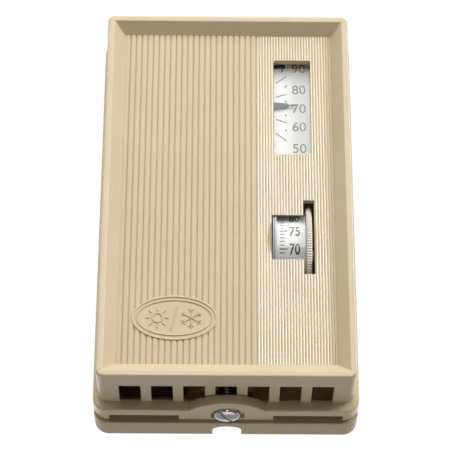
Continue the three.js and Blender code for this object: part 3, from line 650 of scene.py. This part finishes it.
def badge():
    """A plain oval with a sun and a snowflake: a generic mark for heating and cooling."""
    def oval(inset, width):
        rim = arc(BADGE_X, BADGE_Z, BADGE_HALF_WIDTH - inset, BADGE_HALF_HEIGHT - inset, 0, 360, 96)[:-1]
        return ridge(rim, width, closed=True)

    def spoke(x, z, angle, start, end, width):
        a = math.radians(angle)
        ends = [(x + r * math.cos(a), z + r * math.sin(a)) for r in (start, end)]
        return ridge(ends, width)

    lines = [oval(0.35, 0.6), oval(1.5, 0.28)]
    sun_x, flake_x = BADGE_X - 4.6, BADGE_X + 4.6
    lines.append(ridge(circle(sun_x, BADGE_Z, 1.35, 32), 0.36, closed=True))
    lines += [spoke(sun_x, BADGE_Z, 45 * k, 2.05, 3.1, 0.36) for k in range(8)]
    lines += [spoke(flake_x, BADGE_Z, 60 * k + 30, -3.0, 3.0, 0.3) for k in range(3)]
    for k in range(6):
        a = math.radians(60 * k + 30)
        x, z = flake_x + 2.0 * math.cos(a), BADGE_Z + 2.0 * math.sin(a)
        lines += [spoke(x, z, 60 * k + 30 + turn, 0, 0.95, 0.26) for turn in (-50, 50)]
    lines.append(ridge([(BADGE_X - 0.9, BADGE_Z - 3.6), (BADGE_X + 0.9, BADGE_Z + 3.6)], 0.32))
    return cleaned(merged("badge_mark", lines))


# ---- Lettering -----------------------------------------------------------------------------------

def flat_text(text, width, height, weight=0.0):
    """Text as (points, faces) in its own plane, fitted to a width and height about its middle."""
    curve = bpy.data.curves.new("text", "FONT")
    curve.body = text
    curve.offset = weight
    curve.resolution_u = 6
    holder = bpy.data.objects.new("text", curve)
    bpy.context.scene.collection.objects.link(holder)
    graph = bpy.context.evaluated_depsgraph_get()
    mesh = bpy.data.meshes.new_from_object(holder.evaluated_get(graph))
    xs = [v.co.x for v in mesh.vertices]
    ys = [v.co.y for v in mesh.vertices]
    wide, tall = max(xs) - min(xs), max(ys) - min(ys)
    points = [((v.co.x - min(xs)) / wide * width - width / 2, (v.co.y - min(ys)) / tall * height - height / 2)
              for v in mesh.vertices]
    faces = [tuple(p.vertices) for p in mesh.polygons]
    bpy.data.objects.remove(holder)
    return points, faces


def bar(x0, z0, x1, z1, thick):
    """A printed line between two points, as (points, faces)."""
    side = Vector((z0 - z1, x1 - x0)).normalized() * thick / 2
    points = [(x0 - side.x, z0 - side.y), (x1 - side.x, z1 - side.y), (x1 + side.x, z1 + side.y),
              (x0 + side.x, z0 + side.y)]
    return points, [(0, 1, 2, 3)]


def moved(shape, x, z):
    """A flat shape moved in its own plane."""
    points, faces = shape
    return [(px + x, pz + z) for px, pz in points], faces


def printed(name, shapes, place, slice_mm=None):
    """Prints flat shapes as a thin layer of ink. place(x, z, lift) gives each point its place."""
    work = bmesh.new()
    for points, faces in shapes:
        made = [work.verts.new((x, 0, z)) for x, z in points]
        for face in faces:
            work.faces.new([made[i] for i in face])
    bmesh.ops.remove_doubles(work, verts=work.verts, dist=1e-4)
    if slice_mm:
        heights = [v.co.z for v in work.verts]
        level = min(heights) + slice_mm
        while level < max(heights):
            geometry = [*work.verts, *work.edges, *work.faces]
            bmesh.ops.bisect_plane(work, geom=geometry, plane_co=(0, 0, level), plane_no=(0, 0, 1))
            level += slice_mm
    work.verts.index_update()
    flat = [(v.co.x, v.co.z) for v in work.verts]
    faces = [[v.index for v in f.verts] for f in work.faces]
    rims = [[v.index for v in e.verts] for e in work.edges if len(e.link_faces) == 1]
    work.free()
    count = len(flat)
    points = [place(x, z, 0.0) for x, z in flat] + [place(x, z, INK_THICKNESS) for x, z in flat]
    solid = [list(reversed(f)) for f in faces] + [[i + count for i in f] for f in faces]
    solid += [[a, b, b + count, a + count] for a, b in rims]
    return mesh_object(name, points, solid)


def dial_print():
    """Ticks, dots and numbers of the thermometer, printed on its dial, and a dark bar with a stub at the top
    of the window, printed as painted shade.
    """
    per_degree = math.radians(1.88)
    centre_degree = 70
    inner_x, outer_x = 14.0, 17.2
    shapes = []

    def on_ray(degree, x):
        return DIAL_Z + (x - DIAL_X) * math.tan((degree - centre_degree) * per_degree)

    for degree in range(50, 91, 10):
        shapes.append(bar(inner_x, on_ray(degree, inner_x), outer_x, on_ray(degree, outer_x), 0.26))
    for degree in range(55, 90, 10):
        shapes.append((circle(16.95, on_ray(degree, 16.95), 0.28, 16), [tuple(range(16))]))
    number_heights = {90: 44.1, 80: 36.85, 70: 30.5, 60: 24.3, 50: 17.1}
    for degree, z in number_heights.items():
        shapes.append(moved(flat_text(str(degree), 3.9, 3.0), 20.75, z))
    # A dark bar and stub at the top of the window: painted shade, printed in the dial's ink and not a part.
    shadow_bar_z = 44.7
    shapes.append(bar(13.6, shadow_bar_z, 16.8, shadow_bar_z, 1.5))
    shapes.append(bar(15.9, shadow_bar_z - 0.8, 15.9, shadow_bar_z - 1.9, 0.4))
    return printed("dial_print", shapes, lambda x, z, lift: (x, DIAL_FRONT - INK_LIFT - lift, z))


def drum_print():
    """The setpoint scale, wrapped round the drum."""
    lowest, highest = 55, 85
    middle_value, middle_angle = 70, -16.9
    per_degree = 5.3
    shapes = []
    for degree in range(lowest, highest + 1):
        z = math.radians(middle_angle + (degree - middle_value) * per_degree) * DRUM_RADIUS
        numbered = degree % 5 == 0
        tick_end, thickness = (16.8, 0.28) if numbered else (16.0, 0.22)
        shapes.append(bar(14.6, z, tick_end, z, thickness))
        if numbered:
            shapes.append(moved(flat_text(str(degree), 2.9, 3.2, weight=0.015), 18.8, z))

    def wrapped(x, z, lift):
        angle = z / DRUM_RADIUS
        radius = DRUM_RADIUS + INK_LIFT + lift
        return (x, SETPOINT_Y - radius * math.cos(angle), SETPOINT_Z + radius * math.sin(angle))

    return printed("drum_print", shapes, wrapped, slice_mm=0.3)


# ---- Thermometer ---------------------------------------------------------------------------------

def thermometer_pointer():
    """A tapered blade with a fine tip, on a hub; it is turned to its rest angle."""
    blade_half = [(0.0, 1.35), (11.0, 1.0), (14.5, 0.55)]
    tip_half = [(14.8, 0.15), (15.3, 0.13), (15.8, 0.3), (16.3, 0.1), (16.8, 0.05)]
    half = blade_half + tip_half
    outline = half + [(x, -z) for x, z in reversed(half)]
    blade = prism("pointer", outline, "Y", POINTER_FRONT, POINTER_BACK)
    hub_half = [(0.02, -1.05), (1.7, -1.05), (2.2, POINTER_FRONT), (2.4, -0.7), (2.4, POINTER_BACK),
                (0.02, POINTER_BACK)]
    add(blade, turned("hub", "Y", hub_half, 0, 0, 48))
    blade.data.transform(Matrix.Rotation(-POINTER_REST, 4, "Y"))
    blade.data.transform(Matrix.Translation(Vector((DIAL_X, DIAL_FRONT, DIAL_Z)) * MM))
    return cleaned(blade)


def dial_plate():
    """The dial's sheet, with holes for the staff and two screws."""
    left, right = DIAL_X - DIAL_LEFT, DIAL_X + DIAL_RIGHT
    outline = rounded_outline(left, right, DIAL_Z - DIAL_BELOW, DIAL_Z + DIAL_ABOVE, 1.5, 8)
    plate = prism("dial_sheet", outline, "Y", DIAL_FRONT, DIAL_FRONT + DIAL_THICKNESS)
    holes = [rod("Y", 1.8, -30, -20, DIAL_X, DIAL_Z)]
    holes += [rod("Y", 1.2, -30, -20, DIAL_X, DIAL_Z + side * DIAL_SCREW_OFFSET) for side in (-1, 1)]
    return cleaned(cut(plate, merged("holes", holes)))


# ---- Setpoint ------------------------------------------------------------------------------------

def lens_band(name, left, right, start, end, steps=40):
    """Part of the curved lens, between two angles from the horizontal."""
    outer = arc(SETPOINT_Y, SETPOINT_Z, LENS_OUTER_RADIUS, LENS_OUTER_RADIUS, 180 - end, 180 - start, steps)
    inner = arc(SETPOINT_Y, SETPOINT_Z, LENS_INNER_RADIUS, LENS_INNER_RADIUS, 180 - start, 180 - end, steps)
    return prism(name, outer + inner, "X", left, right)


def setpoint_lens():
    """The clear part, the frosted rim that holds it, which shows grey round the scale, and a dark strip in
    the rim's groove that is painted shadow.
    """
    left, right = DRUM_WINDOW[0] + GAP, WHEEL_LEFT - GAP
    rim, groove, low, high, reach = 0.95, 0.2, -27, 38.5, 40
    band_end = DRUM_WINDOW[1] - GAP
    clear = lens_band("setpoint_window", left + rim + 0.1, right, low + 0.5, high - 0.5)
    frame_parts = [lens_band("side", left, left + 0.3, -reach, reach)]
    frame_parts.append(lens_band("side", left + 0.3 + groove, left + rim, -reach, reach))
    frame_parts.append(lens_band("top", left + rim - 0.05, band_end, high, reach, 8))
    frame_parts.append(lens_band("bottom", left + rim - 0.05, band_end, -reach, low, 8))
    front = PANEL_BACK + GAP
    for base in (7.9, -11.4):
        low_edge = SETPOINT_Z + base
        frame_parts.append(block(left, band_end, front, front + 1, low_edge, low_edge + 3.5))
    # A dark strip in the groove of the rim's left side: a painted shadow line, not a part.
    shadow_strip = cleaned(lens_band("shadow_strip", left + 0.3, left + 0.3 + groove, -reach, reach))
    shadow_strip.data.transform(Matrix.Translation((0, 0.05 * MM, 0)))
    first = frame_parts.pop()
    return cleaned(clear), cleaned(add(first, *frame_parts)), shadow_strip


def thermometer_lens():
    """The clear pane behind the thermometer's window."""
    left, right, low, high = DIAL_WINDOW
    front = PANEL_BACK + GAP
    loops = []
    for inset, y in ((0.12, front), (0, front + 0.12), (0, front + 0.68), (0.12, front + 0.8)):
        past = 1.5 - inset
        outline = rounded_outline(left - past, right + past, low - past, high + past, 1)
        loops.append([(x, y, z) for x, z in outline])
    return cleaned(loft("thermometer_window", loops))


def setpoint_drum():
    """A hollow drum on a hub, open at its left end."""
    left, right = DRUM_WINDOW[0] + GAP, WHEEL_LEFT - 0.1
    r, bore = DRUM_RADIUS, SHAFT_RADIUS + GAP
    profile = [(bore, left), (4, left), (4, right - 1.6), (r - 1.4, right - 1.6), (r - 1.4, left + 0.1),
               (r - 1.3, left), (r - 0.12, left), (r, left + 0.12), (r, right - 0.12), (r - 0.12, right),
               (bore, right)]
    return cleaned(turned("drum_moulded", "X", profile, SETPOINT_Y, SETPOINT_Z, 180))


def thumbwheel():
    """A disc with a finely grooved rim and softened sides."""
    left, right = WHEEL_LEFT, WHEEL_RIGHT
    teeth, depth = 118, 0.28
    shape = [0, 0.15, 1, 1, 0.15]

    def rim(x, inset, sharp):
        loop = []
        for k in range(teeth * len(shape)):
            tooth = shape[k % len(shape)]
            angle = 2 * math.pi * k / (teeth * len(shape))
            radius = WHEEL_RADIUS - inset - depth * (1 - tooth) * sharp
            loop.append((x, SETPOINT_Y + radius * math.cos(angle), SETPOINT_Z + radius * math.sin(angle)))
        return loop

    sides = [(left, 0.75, 0), (left + 0.05, 0.45, 0), (left + 0.25, 0.1, 1), (left + 0.4, 0, 1),
             (right - 0.4, 0, 1), (right - 0.25, 0.1, 1), (right - 0.05, 0.45, 0), (right, 0.75, 0)]
    wheel = loft("wheel_moulded", [rim(*side) for side in sides])
    cut(wheel, rod("X", SHAFT_RADIUS + GAP, left - 1, right + 1, SETPOINT_Y, SETPOINT_Z))
    for x in (left, right):
        groove = turned("groove", "X", [(5.5, x - 0.4), (11.6, x - 0.4), (11.6, x + 0.4), (5.5, x + 0.4)],
                        SETPOINT_Y, SETPOINT_Z, 96)
        cut(wheel, groove)
    return cleaned(wheel)


# ---- Screw and base ------------------------------------------------------------------------------

def cover_screw():
    """A domed slotted head that faces down, on a threaded shank."""
    seat = SCREW_SEAT
    r, rim, dome = SCREW_HEAD_RADIUS, 1.5, 0.97
    head = [(0.01, seat - rim - dome)]
    for k in range(1, 9):
        a = math.radians(90 * k / 8)
        head.append((r * math.sin(a), seat - rim - dome * math.cos(a)))
    head += [(r, seat - 0.15), (r - 0.15, seat), (SCREW_RADIUS, seat)]
    pitch, crest = 0.8, 0.18
    along = seat + 2.6
    while along < seat + 9.4:
        head += [(SCREW_RADIUS, along), (SCREW_RADIUS - crest, along + pitch / 2)]
        along += pitch
    head += [(SCREW_RADIUS - 0.3, seat + 9.8), (0.01, seat + 9.8)]
    screw = turned("cover_screw_plated", "Z", head, SCREW_X, SCREW_Y, 96)
    half_width = 0.45
    slot = block(-5, 5, -half_width, half_width, seat - rim - dome - 1, seat - 1.35)
    slot.data.transform(Matrix.Rotation(SCREW_SLOT_ANGLE, 4, "Z"))
    slot.data.transform(Matrix.Translation(Vector((SCREW_X, SCREW_Y, 0)) * MM))
    return cleaned(cut(screw, slot))


def screw_fork():
    """The base's forked tongue that holds the cover screw, with a web on each side."""
    low, high = -55, -53.4
    slot = SCREW_RADIUS + 0.55
    fork = block(SCREW_X - 7, SCREW_X + 7, SCREW_Y - 3.5, PLATE_FRONT + 0.1, low, high)
    mouth = [(SCREW_X + slot, SCREW_Y - 5)] + arc(SCREW_X, SCREW_Y, slot, slot, 0, 180, 24)
    mouth.append((SCREW_X - slot, SCREW_Y - 5))
    cut(fork, prism("mouth", mouth, "Z", low - 1, high + 1))
    side = [(PLATE_FRONT + 0.1, high - 0.1), (SCREW_Y + 4, high - 0.1), (PLATE_FRONT + 0.1, high + 6)]
    return add(fork, *[prism("web", side, "X", x, x + 1.2) for x in (SCREW_X - 7, SCREW_X + 5.8)])


def base_plate():
    """The base: a shallow tray with the fork, a notch, a wire entry and two mounting slots."""
    def section(inset, y):
        low, high = BASE_BOTTOM + inset, BASE_TOP - inset
        return rounded_loop(BASE_HALF_WIDTH - inset, low, high, BASE_CORNER - inset, y)

    back_edge = 0.4
    turns = (0, math.pi / 4, math.pi / 2)
    loops = [section(back_edge * (1 - math.sin(a)), back_edge * (math.cos(a) - 1)) for a in turns]
    loops += [section(inset, BASE_FRONT + setback) for inset, setback in reversed(list(rounding(0.3, 4)))]
    loops.append(section(BASE_WALL - 0.15, BASE_FRONT))
    loops.append(section(BASE_WALL, BASE_FRONT + 0.15))
    loops.append(section(BASE_WALL, PLATE_FRONT))
    base = loft("base_moulded", loops)
    add(base, screw_fork())

    half = 4
    arch = [(SCREW_X + half, 1)] + arc(SCREW_X, -3.3, half, 2.6, 0, -180, 24) + [(SCREW_X - half, 1)]
    cut(base, prism("notch", arch, "Z", BASE_BOTTOM - 1, -56.2))
    openings = [prism("entry", rounded_outline(*WIRE_ENTRY, 2), "Y", -5, 1)]
    for middle in (MOUNT_SLOT_Z, -MOUNT_SLOT_Z):
        left, right = MOUNT_SLOT_X - MOUNT_SLOT_WIDTH / 2, MOUNT_SLOT_X + MOUNT_SLOT_WIDTH / 2
        low, high = middle - MOUNT_SLOT_HEIGHT / 2, middle + MOUNT_SLOT_HEIGHT / 2
        openings.append(prism("slot", rounded_outline(left, right, low, high, 2.2), "Y", -5, 1))
    cut(base, merged("openings", openings))
    return cleaned(base)


# ---- CAD nodes that stay -------------------------------------------------------------------------

NODE_SHADERS = {
    "screw_nut": PLAIN_STEEL, "thermometer_coil": BIMETAL, "thermometer_bracket": SPRING_STEEL,
    "coil_anchor": BRASS, "dial_screw_upper": PLAIN_STEEL, "dial_screw_lower": PLAIN_STEEL,
    "pointer_staff": SPRING_STEEL, "setpoint_shaft": PLAIN_STEEL, "setpoint_cam": BRASS,
    "shaft_clip": SPRING_STEEL, "follower_lever": SPRING_STEEL, "bimetal_blade": BIMETAL,
    "moving_contact": SILVER, "cover_clip_left": SPRING_STEEL, "cover_clip_right": SPRING_STEEL,
    "shaft_bracket_left": PLAIN_STEEL, "shaft_bracket_right": PLAIN_STEEL, "bracket_screw_left": PLAIN_STEEL,
    "bracket_screw_right": PLAIN_STEEL, "lever_bracket": PLAIN_STEEL, "lever_pin": SPRING_STEEL,
    "fixed_contact": BRASS, "contact_screw": SILVER, "blade_magnet": MAGNET, "terminal_board": BOARD,
    "anticipator_card": BOARD, "anticipator_wire": SPRING_STEEL, "anticipator_rivet": BRASS,
    "anticipator_arm": BRASS,
}
for number in range(1, 5):
    NODE_SHADERS[f"terminal_plate_{number}"] = BRASS
    NODE_SHADERS[f"terminal_screw_{number}"] = PLAIN_STEEL


def dress_node(name, shader):
    """Softens the edges of a CAD node with modifiers and gives it its material."""
    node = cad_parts[name]
    node.data.materials.clear()
    node.data.materials.append(shader.material)
    weld = node.modifiers.new("weld", "WELD")
    weld.merge_threshold = 1e-6
    flat = node.modifiers.new("flat", "DECIMATE")
    flat.decimate_type = "DISSOLVE"
    flat.angle_limit = math.radians(1)
    soft = node.modifiers.new("soft", "BEVEL")
    soft.width = 0.08 * MM
    soft.segments = 2
    soft.limit_method = "ANGLE"
    soft.angle_limit = math.radians(40)
    smooth = node.modifiers.new("weighted", "WEIGHTED_NORMAL")
    smooth.keep_sharp = True


# ---- Studio --------------------------------------------------------------------------------------

WORLD_ABOVE = 0.6
WORLD_BEHIND = 1.02
WORLD_BAND = 0.06
WORLD_BELOW = 0.16
KEY_RADIANCE = 14
FILL_RADIANCE = 4.5
FRONT_RADIANCE = 2.8
TOP_RADIANCE = 4.5
LIGHT_DISTANCE = 0.9

CAMERA_DISTANCE = 0.5418
CAMERA_RISE = math.radians(28)
CAMERA_SWING = math.radians(-0.286)
CAMERA_ROLL = math.radians(0.255)
CAMERA_LENS, CAMERA_SENSOR = 156.76, 36


def studio_world():
    """White behind and above the front; dim low in front, and grey underneath, as a flagged sweep is."""
    world = bpy.data.worlds.new("studio")
    bpy.context.scene.world = world
    world.use_nodes = True
    tree = world.node_tree
    place = tree.nodes.new("ShaderNodeTexCoord")
    parts = tree.nodes.new("ShaderNodeSeparateXYZ")
    tree.links.new(place.outputs["Generated"], parts.inputs[0])

    def fade(source, start, end, low, high):
        made = tree.nodes.new("ShaderNodeMapRange")
        made.interpolation_type = "SMOOTHSTEP"
        for socket, number in (("From Min", start), ("From Max", end), ("To Min", low), ("To Max", high)):
            made.inputs[socket].default_value = number
        tree.links.new(source, made.inputs["Value"])
        return made.outputs["Result"]

    def combined(operation, first, second):
        made = tree.nodes.new("ShaderNodeMath")
        made.operation = operation
        tree.links.new(first, made.inputs[0])
        tree.links.new(second, made.inputs[1])
        return made.outputs[0]

    above = fade(parts.outputs["Z"], 0.02, 0.25, WORLD_BAND, WORLD_ABOVE)
    below = fade(parts.outputs["Z"], -0.45, -0.75, WORLD_BAND, WORLD_BELOW)
    behind = fade(parts.outputs["Y"], -0.05, 0.3, 0.0, WORLD_BEHIND)
    low_behind = fade(parts.outputs["Z"], -0.4, -0.05, 0.3, 1.0)
    level = combined("MAXIMUM", combined("MAXIMUM", above, below), combined("MULTIPLY", behind, low_behind))
    tree.links.new(level, tree.nodes["Background"].inputs["Color"])


def shine(azimuth, elevation, size, radiance):
    """An area light of a given radiance, in a direction from the thermostat in degrees."""
    a, e = math.radians(azimuth), math.radians(elevation)
    way = Vector((math.sin(a) * math.cos(e), -math.cos(a) * math.cos(e), math.sin(e)))
    centre = Vector((0, COVER_FRONT, 0)) * MM
    data = bpy.data.lights.new("shine", "AREA")
    data.shape = "RECTANGLE"
    data.size, data.size_y = size
    data.energy = radiance * math.pi * size[0] * size[1]
    lamp = bpy.data.objects.new("shine", data)
    lamp.location = centre + way * LIGHT_DISTANCE
    lamp.rotation_euler = (-way).to_track_quat("-Z", "Y").to_euler()
    bpy.context.scene.collection.objects.link(lamp)


def floor_sheet():
    """A pale floor well below the object, with a slow swell so that it isn't dead flat."""
    half, count, height = 0.55, 24, -0.9
    points, faces = [], []
    for i in range(count + 1):
        for k in range(count + 1):
            x, y = -half + 2 * half * i / count, -half + 2 * half * k / count
            points.append((x / MM, y / MM, height / MM + 0.4 * math.sin(9 * x) * math.cos(7 * y)))
            if i < count and k < count:
                a = i * (count + 1) + k
                faces.append((a, a + 1, a + count + 2, a + count + 1))
    floor = mesh_object("floor", points, faces)
    floor.data.materials.append(plastic("floor_paint", (0.78, 0.78, 0.77), 0.6, grain_mm=4).material)


def camera():
    """Below and in front of the thermostat, looking up at it through a long lens."""
    aim = Vector((-0.6, COVER_FRONT, -11.9)) * MM
    data = bpy.data.cameras.new("camera")
    data.sensor_width = CAMERA_SENSOR
    data.lens = CAMERA_LENS
    data.clip_start, data.clip_end = 0.01, 20
    eye = bpy.data.objects.new("camera", data)
    level = math.cos(CAMERA_RISE)
    back = Vector((math.sin(CAMERA_SWING) * level, -math.cos(CAMERA_SWING) * level, -math.sin(CAMERA_RISE)))
    eye.location = aim + back * CAMERA_DISTANCE
    turn = (-back).to_track_quat("-Z", "Y").to_matrix() @ Matrix.Rotation(CAMERA_ROLL, 3, "Z")
    eye.rotation_euler = turn.to_euler()
    bpy.context.scene.collection.objects.link(eye)
    bpy.context.scene.camera = eye


# ---- Assembly ------------------------------------------------------------------------------------

camera()
studio_world()
shine(53, 25, (0.30, 0.35), KEY_RADIANCE)
shine(-62, 30, (0.30, 0.35), FILL_RADIANCE)
shine(0, 17, (0.28, 0.68), FRONT_RADIANCE)
shine(0, 52, (0.45, 0.35), TOP_RADIANCE)
bpy.context.scene.view_settings.view_transform = "Standard"
floor_sheet()

shell = piece(cover_shell(), "cover", COVER, "cover_plastic", "cover_shell")
matte_field(shell)
piece(badge(), "cover", MATTE, "cover_plastic")
piece(thermometer_lens(), "cover", CLEAR, "clear_plastic", "thermometer_lens")
lens_clear, lens_frame, lens_shadow_strip = setpoint_lens()
# The dark strip in the lens rim is painted shadow.
piece(lens_shadow_strip, "cover", MAGNET, "pointer_black")
piece(lens_clear, "cover", CLEAR, "clear_plastic", "setpoint_lens")
piece(lens_frame, "cover", FROSTED, "clear_plastic")
piece(dial_plate(), "cover", DIAL, "dial_white", "thermometer_dial")
piece(dial_print(), "cover", DIAL_INK, "pointer_black")
piece(thermometer_pointer(), "pointer", POINTER, "pointer_black", "thermometer_pointer")
piece(cover_screw(), "cover_screw", CHROME, "screw_chrome", "cover_screw")
piece(setpoint_drum(), "setpoint", DRUM, "drum_white", "setpoint_drum")
piece(drum_print(), "setpoint", INK, "pointer_black")
piece(thumbwheel(), "setpoint", WHEEL, "wheel_cream", "thumbwheel")
piece(base_plate(), "base", BASE, "base_plastic", "base_plate")
for node_name, node_shader in NODE_SHADERS.items():
    dress_node(node_name, node_shader)
